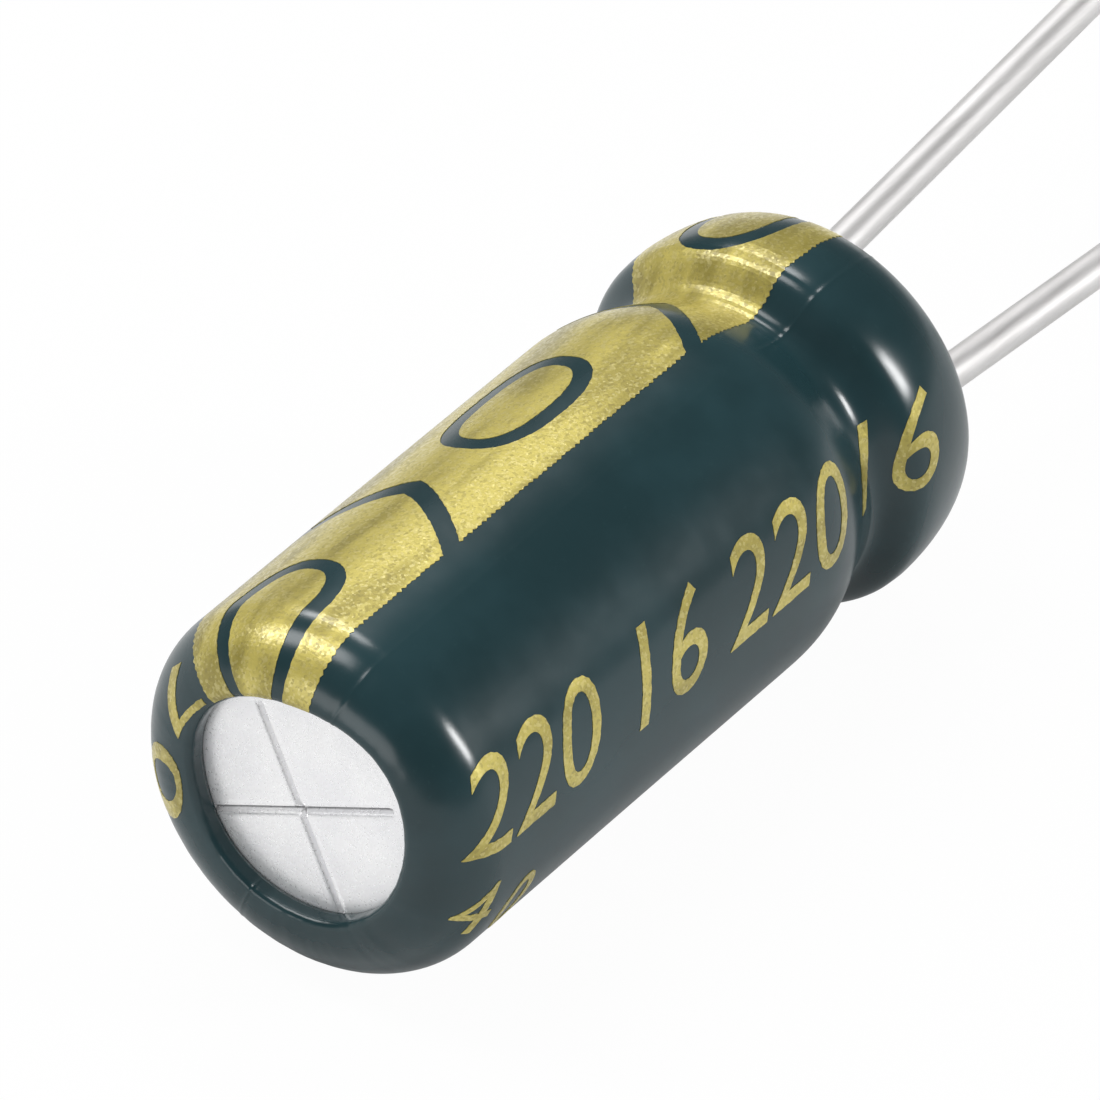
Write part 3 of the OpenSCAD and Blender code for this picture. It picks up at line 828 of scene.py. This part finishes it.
def drawn_in(spots):
    """Where a drawing in (s, y) went as the film shrank over the shoulder, toward an opening off the axis."""
    past = np.maximum(spots[:, 0] - film.barrel_end, 0)
    r, _, _ = shoulder(0, BODY_LEN, LIP_CORNER_R, past)
    pull = LIP_SHIFT * np.clip(past / (LIP_CORNER_R * np.pi / 2), 0, 1)
    a = spots[:, 1] / BARREL_R + math.radians(MAP_TURN)
    b = math.radians(LIP_SHIFT_TURN)
    a = np.arctan2(r * np.sin(a) + pull * math.sin(b), r * np.cos(a) + pull * math.cos(b))
    return np.c_[spots[:, 0], (a - math.radians(MAP_TURN)) % (2 * np.pi) * BARREL_R]


def flat_art(name, loops, is_inked, grid):
    """A closed flat slab, z from 0 to 1, over the inked part of a drawing in (s, y).

    Its faces point inwards, because (s, y) and outwards make a left-handed set on the film.
    """
    points = []
    edges = []
    for loop in loops:
        first = len(points)
        points += [Vector(p) for p in loop]
        edges += [(first + i, first + (i + 1) % len(loop)) for i in range(len(loop))]
    points += [Vector(p) for p in grid[is_inked(grid)]]
    spots, _, faces, _, _, _ = delaunay_2d_cdt(points, edges, [], 0, 1e-4)
    spots = np.array([tuple(p) for p in spots])
    faces = np.array([f for f in faces if len(f) == 3])
    faces = faces[is_inked(spots[faces].mean(1))]
    used = np.unique(faces)
    again = np.full(len(spots), -1)
    again[used] = np.arange(len(used))
    spots, faces = spots[used], again[faces]
    turned = doubled_areas(spots, faces) < 0
    faces[turned] = faces[turned][:, ::-1]
    sides = {}
    for f in faces:
        for p, q in ((f[0], f[1]), (f[1], f[2]), (f[2], f[0])):
            sides[(p, q)] = True
    rim = [(p, q) for p, q in sides if (q, p) not in sides]
    spots = drawn_in(spots)
    count = len(spots)
    walls = [(q, p, p + count, q + count) for p, q in rim]
    cells = [tuple(f[::-1] + count) for f in faces] + [tuple(f) for f in faces] + walls
    places = np.vstack([np.c_[spots, np.zeros(count)], np.c_[spots, np.ones(count)]])
    mesh = bpy.data.meshes.new(name)
    mesh.from_pydata(places.tolist(), [], [list(map(int, f)) for f in cells])
    mesh.validate()
    return mesh


def wrap_tree():
    """Geometry nodes that lay flat art, drawn in (s, y) with its thickness along z, onto the film."""
    tree = tree_with("wrap_on_film", (("Art", "Geometry"), ("Film", "Object"), ("Sunk", "Float"),
                                      ("Proud", "Float"), ("Ink", "Material")), "Print")
    source = add(tree, "NodeGroupInput")
    shown = add(tree, "GeometryNodeObjectInfo", {"Object": source.outputs["Film"]},
                transform_space="RELATIVE")
    drawn = add(tree, "GeometryNodeInputPosition").outputs[0]
    x, y, z = add(tree, "ShaderNodeSeparateXYZ", {0: drawn}).outputs
    place = add(tree, "ShaderNodeCombineXYZ", {0: maths(tree, "MULTIPLY_ADD", x, 1 / MAP_SPAN, MAP_START),
                                               1: maths(tree, "MULTIPLY", y, 1 / MAP_SPAN)}).outputs[0]
    spread = add(tree, "GeometryNodeInputNamedAttribute", {"Name": FILM_MAP},
                 data_type="FLOAT_VECTOR").outputs[0]
    found = []
    for kind in ("GeometryNodeInputPosition", "GeometryNodeInputNormal"):
        sample = add(tree, "GeometryNodeSampleUVSurface", data_type="FLOAT_VECTOR")
        live = {s.name: s for s in sample.inputs if s.enabled}
        put(tree, live["Mesh"], shown.outputs["Geometry"])
        put(tree, live["Value"], add(tree, kind).outputs[0])
        put(tree, live["UV Map"], spread)
        put(tree, live["Sample UV"], place)
        found.append([s for s in sample.outputs if s.enabled][0])
    surface, normal = found
    lift = add(tree, "ShaderNodeMix", {0: z, 2: source.outputs["Sunk"], 3: source.outputs["Proud"]},
               data_type="FLOAT").outputs[0]
    out = add(tree, "ShaderNodeVectorMath", {0: normal, "Scale": lift}, operation="SCALE").outputs[0]
    there = add(tree, "ShaderNodeVectorMath", {0: surface, 1: out}, operation="ADD").outputs[0]
    laid = add(tree, "GeometryNodeSetPosition", {"Geometry": source.outputs["Art"], "Position": there})
    finished(tree, laid.outputs[0], source.outputs["Ink"])
    return tree


def made_by(tree, name, mesh, **inputs):
    """The plain object that a geometry node tree makes from a mesh."""
    work = new_object(name + "_source", mesh)
    nodes = work.modifiers.new("nodes", "NODES")
    nodes.node_group = tree
    keys = {s.name: s.identifier for s in tree.interface.items_tree if s.in_out == "INPUT"}
    for key, value in inputs.items():
        nodes[keys[key]] = value
    bpy.context.view_layer.update()
    result = bpy.data.meshes.new_from_object(work.evaluated_get(bpy.context.evaluated_depsgraph_get()))
    result.name = name
    bpy.data.objects.remove(work)
    return new_object(name, result)


def across_film(turn):
    """Place y on the film's map for a turn."""
    return math.radians((turn - MAP_TURN) % 360) * BARREL_R


def step_on_film(s):
    """How far the next point of a drawing stands along the film: less where the film bends."""
    lip_r = LIP_OPEN_R + LIP_SHIFT + PRINT_LIP_ROOM
    if s > film.barrel_end + shoulder_far(lip_r, 0, LIP_CORNER_R):
        return PRINT_STEP_LIP
    if s < GROOVE_U + GROOVE_FLANK or s > film.barrel_end - PRINT_SHOULDER_ROOM:
        return PRINT_STEP_BENDS
    return PRINT_STEP_BARREL


def grid_on_film(s_low, s_high, y_low, y_high):
    """Inner points of a drawing between these places."""
    s = [s_low]
    while s[-1] < s_high:
        s.append(s[-1] + step_on_film(s[-1]))
    y = np.arange(y_low, y_high, PRINT_STEP)
    return np.stack(np.meshgrid(s, y, indexing="ij"), 2).reshape(-1, 2)


def settled_turns(turns):
    """Turns at the lip that lines of print at these turns on the barrel run to."""
    lip_s = film.barrel_end + LIP_CORNER_R * np.pi / 2
    lip = np.array([(lip_s, across_film(t)) for t in turns])
    return np.degrees(drawn_in(lip)[:, 1] / BARREL_R) + MAP_TURN


def stripe_art():
    """The stripe with its toothed sides, bare oval rings and bare arrows, as one flat drawing."""
    rng = np.random.default_rng(SEED + 1)
    middle = across_film(STRIPE_TURN)
    half = STRIPE_W / 2
    start = film.start_s[STRIPE_FIRST_ROW]
    ys = np.linspace(-half, half, STRIPE_END_POINTS)
    turns = STRIPE_TURN + np.degrees(ys / BARREL_R)
    ends = film.end_s(settled_turns(turns)) + LIP_ROUND * STRIPE_OVER_LIP
    sides = []
    for y, s_end in ((-half, ends[0]), (half, ends[-1])):
        count = int((s_end - start) / TOOTH)
        s = np.linspace(start, s_end, count + 1)[1:-1]
        way = np.where(np.arange(len(s)) % 2, 1, -1)
        sides.append(np.c_[s, y + rng.uniform(TOOTH_LEAST, TOOTH_MOST, len(s)) * way])
    outline = np.vstack([[[start, -half]], sides[0], np.c_[ends, ys], sides[1][::-1], [[start, half]]])
    rings = [(oval(middle_s, OVAL_LEN, OVAL_W, rng),
              oval(middle_s, OVAL_LEN - 2 * OVAL_LINE, OVAL_W - 2 * OVAL_LINE, rng))
             for middle_s in OVAL_PLACES]
    arrows = [arrow(tip, rng) for tip in ARROW_PLACES]
    shift = np.array([0, middle])

    def inked(points):
        points = points - shift
        shown = inside_line(points, outline)
        for outer, inner in rings:
            shown &= ~(inside_line(points, outer) & ~inside_line(points, inner))
        for line in arrows:
            shown &= ~inside_line(points, line)
        return shown

    loops = [outline] + [line for ring in rings for line in ring] + arrows
    grid = grid_on_film(start, ends.max(), middle - half, middle + half)
    return flat_art("polarity_print", [np.asarray(line) + shift for line in loops], inked, grid)


def numeral_loops(text, height, s, y, upright):
    """Outlines of plain numbers in (s, y), from the lower left corner of the first one."""
    curve = bpy.data.curves.new("numerals", "FONT")
    curve.body = text
    curve.size = height / FONT_HEIGHT
    curve.offset = NUMERAL_BOLD
    curve.shear = 0 if upright else NUMERAL_SLANT
    curve.fill_mode = "NONE"
    curve.resolution_u = 5
    work = bpy.data.objects.new("numerals", curve)
    scene.collection.objects.link(work)
    bpy.context.view_layer.update()
    mesh = work.evaluated_get(bpy.context.evaluated_depsgraph_get()).to_mesh()
    next_to = {}
    for a, b in (tuple(e.vertices) for e in mesh.edges):
        next_to.setdefault(a, []).append(b)
        next_to.setdefault(b, []).append(a)
    places = [tuple(v.co)[:2] for v in mesh.vertices]
    bpy.data.objects.remove(work)
    loops = []
    seen = set()
    for first in next_to:
        loop = []
        at = first
        while at is not None and at not in seen:
            seen.add(at)
            loop.append(places[at])
            at = next((n for n in next_to[at] if n not in seen), None)
        if len(loop) > 2:
            loops.append(loop)
    if upright:
        return [[(s + py, y + px * UPRIGHT_WIDTH) for px, py in loop] for loop in loops]
    return [[(s - px, y + py) for px, py in loop] for loop in loops]


def numeral_art():
    """The rows of plain numbers, as one flat drawing."""
    rng = np.random.default_rng(SEED + 2)
    loops = []
    for rows, upright in ((NUMERALS, False), (UPRIGHT_NUMERALS, True)):
        for text, height, s, turn in rows:
            for loop in numeral_loops(text, height, s, across_film(turn), upright):
                loops.append(np.array(rough_line(loop, rng, NUMERAL_STEP, NUMERAL_ROUGHNESS)))

    def inked(points):
        shown = np.zeros(len(points), bool)
        for loop in loops:
            shown ^= inside_line(points, loop)
        return shown

    everything = np.vstack(loops)
    (s_low, y_low), (s_high, y_high) = everything.min(0), everything.max(0)
    return flat_art("numerals", loops, inked, grid_on_film(s_low, s_high, y_low, y_high))


def printed(name, art):
    """Gold print on the sleeve from a flat drawing."""
    return made_by(wrap, name, art, Film=sleeve, Sunk=-INK_SUNK * MM, Proud=INK_PROUD * MM,
                   Ink=FINISHES["gold_ink"])


wrap = wrap_tree()
stripe = printed("polarity_print", stripe_art())
numerals = printed("plain_numerals", numeral_art())


# Can

def turned_mesh(line, columns):
    """Points and faces of a line of [radius, u] turned about the axis, with a single point at a pole."""
    points = []
    rings = []
    for r, u in line:
        if r < 1e-9:
            rings.append([len(points)])
            points.append((-u, 0, 0))
        else:
            a = np.arange(columns) * 2 * np.pi / columns
            rings.append(list(range(len(points), len(points) + columns)))
            points += np.c_[np.full(columns, -u), r * np.sin(a), r * np.cos(a)].tolist()
    faces = []
    for a, b in zip(rings, rings[1:]):
        for j in range(columns):
            m = (j + 1) % columns
            faces.append([a[j % len(a)], b[j % len(b)], b[m % len(b)], a[m % len(a)]])
    faces = [list(dict.fromkeys(f)) for f in faces]
    return points, faces


def score_height(y, z):
    """Height of the can's end face at (y, z): two scored lines with raised burrs, and a faint wave."""
    height = np.zeros_like(y)
    burr = np.zeros_like(y)
    for turn in (SCORE_TURN, SCORE_TURN + 90):
        a = math.radians(turn)
        along = y * math.sin(a) + z * math.cos(a)
        off = np.abs(y * math.cos(a) - z * math.sin(a))
        past = np.maximum(np.abs(along) - SCORE_LEN / 2, 0)
        depth = SCORE_DEPTH * np.clip(1 - off / (SCORE_W / 2), 0, 1)
        height = np.minimum(height, -depth * np.clip(1 - past / SCORE_RUN_OUT, 0, 1))
        off = np.hypot(np.maximum(off - SCORE_W / 2, 0), past)
        burr = np.maximum(burr, SCORE_BURR * np.clip(1 - off / BURR_W, 0, 1))
    a = math.radians(SCORE_TURN)
    first = y * math.sin(a) + z * math.cos(a)
    second = y * math.cos(a) - z * math.sin(a)
    wave = END_WAVE * np.sin(first * 1.3) * np.sin(second * 1.1)
    return np.where(height < -1e-6, height, burr) + wave


def off_score(y, z):
    """Distance of (y, z) on the can's end from the nearer scored line."""
    a = math.radians(SCORE_TURN)
    return min(abs(y * math.cos(a) - z * math.sin(a)), abs(y * math.sin(a) + z * math.cos(a)))


def can_end():
    """Points and faces of the can's end face, dense along the scored lines."""
    flat_r = BARREL_R - FILM_WALL - FIT_GAP - CAN_CORNER_R
    turns = [2 * math.pi * i / CAN_COLUMNS for i in range(CAN_COLUMNS)]
    rim = [(flat_r * math.sin(a), flat_r * math.cos(a)) for a in turns]
    spots = []
    for turn in (SCORE_TURN, SCORE_TURN + 90):
        a = math.radians(turn)
        for t in np.arange(-SCORE_REACH, SCORE_REACH + SCORE_STEP / 10, SCORE_STEP):
            for off in SCORE_ROWS:
                for side in ((1, -1) if off else (1,)):
                    spots.append((t * math.sin(a) + side * off * math.cos(a),
                                  t * math.cos(a) - side * off * math.sin(a)))
    for y in np.arange(-flat_r, flat_r, END_STEP):
        for z in np.arange(-flat_r, flat_r, END_STEP):
            if off_score(y, z) > END_ROOM:
                spots.append((y, z))
    spots = [p for p in spots if math.hypot(*p) < flat_r - RIM_ROOM]
    edges = [(i, (i + 1) % CAN_COLUMNS) for i in range(CAN_COLUMNS)]
    found, _, faces, _, _, _ = delaunay_2d_cdt([Vector(p) for p in rim + spots], edges, [], 1, 1e-5)
    found = np.array([tuple(p) for p in found])
    height = score_height(found[:, 0], found[:, 1])
    height[np.hypot(*found.T) > flat_r - 1e-4] = 0
    end_u = BODY_LEN - LIP_T - FIT_GAP
    areas = doubled_areas(found, np.array([f[:3] for f in faces]))
    faces = [list(f) if area < 0 else list(f)[::-1] for f, area in zip(faces, areas)]
    return np.c_[-(end_u + height), found[:, 0], found[:, 1]], faces


def can_mesh():
    """The can: scored end, rounded shoulder, groove and bead, and the rim curled into the stopper."""
    out = FILM_WALL + FIT_GAP
    inn = out + CAN_WALL
    rim_u = HEM_T + FIT_GAP
    end_u = BODY_LEN - LIP_T - FIT_GAP
    hook_u = rim_u + CURL_R
    inner_r = CURL_R - CAN_WALL
    outer = shell_start(out, rim_u, CAN_START_ROWS)
    corner = [shoulder(out, end_u, CAN_CORNER_R, far)[:2]
              for far in np.linspace(0, CAN_CORNER_R * np.pi / 2, CAN_CORNER_ROWS)]
    t = np.linspace(np.pi, 1.5 * np.pi, CURL_ROWS)
    hook_out = np.c_[CURL_MID_R + CURL_R * np.cos(t), hook_u + CURL_R * np.sin(t)]
    hook_in = np.c_[CURL_MID_R + inner_r * np.cos(t), hook_u + inner_r * np.sin(t)]
    bite = [[CURL_MID_R - CURL_R, hook_u + CURL_BITE], [CURL_MID_R - inner_r, hook_u + CURL_BITE]]
    bore = shell_start(inn, rim_u + CAN_WALL, CAN_START_ROWS)
    floor_u = end_u - CAN_END_T
    inner_corner_r = CAN_CORNER_R - CAN_WALL
    inside = [shoulder(inn, floor_u, inner_corner_r, far)[:2]
              for far in np.linspace(0, inner_corner_r * np.pi / 2, CAN_INNER_CORNER_ROWS)]
    line = np.vstack([corner[::-1], outer[::-1], hook_out[::-1][1:], bite, hook_in[:-1], bore, inside,
                      [[0, floor_u]]])
    keep = np.r_[True, np.hypot(*np.diff(line, axis=0).T) > 1e-6]
    points, faces = turned_mesh(line[keep], CAN_COLUMNS)
    spots, cells = can_end()
    first = len(points)
    faces += [[first + i for i in f] for f in cells]
    mesh = mesh_of("can_shell", np.vstack([points, spots]), faces)
    bm = bmesh.new()
    bm.from_mesh(mesh)
    bmesh.ops.remove_doubles(bm, verts=bm.verts, dist=1e-7)
    bmesh.ops.recalc_face_normals(bm, faces=bm.faces)
    bm.to_mesh(mesh)
    bm.free()
    mesh.shade_smooth()
    for face in mesh.polygons:
        x, y, z = face.center / MM
        on_end = -x > end_u - SCORE_DEPTH - FIT_GAP
        in_reach = math.hypot(y, z) < SCORE_LEN / 2 + SCORE_CRISP_PAST
        if on_end and in_reach and off_score(y, z) < SCORE_W / 2 + BURR_W:
            face.use_smooth = False
    return mesh


can = new_object("can_shell", can_mesh())


# Leads

def lead_line(turn, bends):
    """The centre line of a lead, from its weld: straight lengths with round bends between them."""
    a = math.radians(turn)
    out = Vector((0, math.sin(a), math.cos(a)))
    along = Vector((1, 0, 0))
    place = out * (LEAD_PITCH / 2) - along * WELD_U
    angle = 0.0
    points = [place.copy()]
    for length, bend in bends:
        steps = max(2, int(length / LEAD_STEP))
        way = along * math.cos(angle) + out * math.sin(angle)
        points += [place + way * length * i / steps for i in range(1, steps + 1)]
        place = points[-1].copy()
        if bend:
            side = math.copysign(1, bend)
            normal = (out * math.cos(angle) - along * math.sin(angle)) * side
            centre = place + normal * LEAD_BEND_R
            for i in range(1, BEND_STEPS + 1):
                b = abs(bend) * i / BEND_STEPS
                points.append(centre - normal * LEAD_BEND_R * math.cos(b) + way * LEAD_BEND_R * math.sin(b))
            place = points[-1].copy()
            angle += bend
    return points


def lead_tree():
    """Geometry nodes that sweep a round wire along a line, with a small chamfer at its far tip."""
    tree = tree_with("drawn_wire", (("Line", "Geometry"), ("Diameter", "Float"), ("Sides", "Int"),
                                    ("Chamfer", "Float"), ("Metal", "Material")), "Wire")
    source = add(tree, "NodeGroupInput")
    curve = add(tree, "GeometryNodeMeshToCurve", {0: source.outputs["Line"]})
    radius = maths(tree, "MULTIPLY", source.outputs["Diameter"], 0.5)
    param = add(tree, "GeometryNodeSplineParameter")
    total = add(tree, "GeometryNodeSplineLength").outputs["Length"]
    to_tip = maths(tree, "SUBTRACT", total, param.outputs["Length"])
    near = add(tree, "ShaderNodeMapRange", {0: to_tip, 1: 0.0, 2: source.outputs["Chamfer"],
                                            3: LEAD_TIP_SHARE, 4: 1.0})
    shaped = add(tree, "GeometryNodeSetCurveRadius", {"Curve": curve.outputs[0],
                                                      "Radius": near.outputs[0]})
    ring = add(tree, "GeometryNodeCurvePrimitiveCircle", {"Resolution": source.outputs["Sides"],
                                                          "Radius": radius})
    swept = add(tree, "GeometryNodeCurveToMesh", {"Curve": shaped.outputs[0],
                                                  "Profile Curve": ring.outputs[0], "Fill Caps": True})
    scale = [s for s in swept.inputs if s.name == "Scale"]
    if scale:
        put(tree, scale[0], near.outputs[0])
    smooth = add(tree, "GeometryNodeSetShadeSmooth", {0: swept.outputs[0]})
    finished(tree, smooth.outputs[0], source.outputs["Metal"])
    return tree


def bend_cut(angle):
    """How much a round bend takes off the straight length on each side of it."""
    return LEAD_BEND_R * math.tan(abs(angle) / 2)


def add_lead(name, turn, bends):
    """A lead, with a few more points at its chamfered tip."""
    line = lead_line(turn, bends)
    tip = line[-1]
    way = (line[-1] - line[-2]).normalized()
    line = line[:-1] + [tip - way * back for back in (LEAD_CHAMFER, LEAD_CHAMFER / 2)] + [tip]
    mesh = bpy.data.meshes.new(name)
    mesh.from_pydata([p * MM for p in line], [(i, i + 1) for i in range(len(line) - 1)], [])
    return made_by(sweep, name, mesh, Diameter=LEAD_D * MM, Sides=LEAD_SIDES, Chamfer=LEAD_CHAMFER * MM,
                   Metal=FINISHES["tinned_wire"])


splay = math.radians(LEAD_SPLAY)
anode_drop = (CREST_R - LEAD_D / 2) / math.cos(math.radians(LEAD_TURN)) - LEAD_PITCH / 2
anode_second = math.atan((anode_drop - ANODE_BEND_X * math.tan(splay)) / (ANODE_REACH - ANODE_BEND_X))
anode_turn = anode_second - splay
sweep = lead_tree()
anode = add_lead("anode_wire", LEAD_TURN + 180, [
    (WELD_U - bend_cut(splay), splay),
    (ANODE_BEND_X / math.cos(splay) - bend_cut(splay) - bend_cut(anode_turn), anode_turn),
    ((ANODE_REACH - ANODE_BEND_X) / math.cos(anode_second) - bend_cut(anode_turn), 0)])
cathode = add_lead("cathode_wire", LEAD_TURN, [
    (WELD_U - bend_cut(splay), splay),
    (CATHODE_REACH / math.cos(splay) - bend_cut(splay), 0)])


# Finishes, bodies and nodes

ROOT = "root"


def finish(piece, slot):
    """Gives a piece its only material."""
    piece.data.materials.clear()
    piece.data.materials.append(FINISHES[slot])


for entry in frame["record"]["subparts"]:
    finish(frame["nodes"][entry["node"]], entry["material_slot"])

PIECES = (
    (sleeve, "sleeve", "sleeve_film"),
    (stripe, "polarity_stripe", "gold_ink"),
    (numerals, "polarity_stripe", "gold_ink"),
    (can, "can", "can_metal"),
    (anode, "anode_lead", "tinned_wire"),
    (cathode, "cathode_lead", "tinned_wire"),
)
for piece, node, slot in PIECES:
    finish(piece, slot)
    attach(piece, ROOT)
    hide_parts(node)
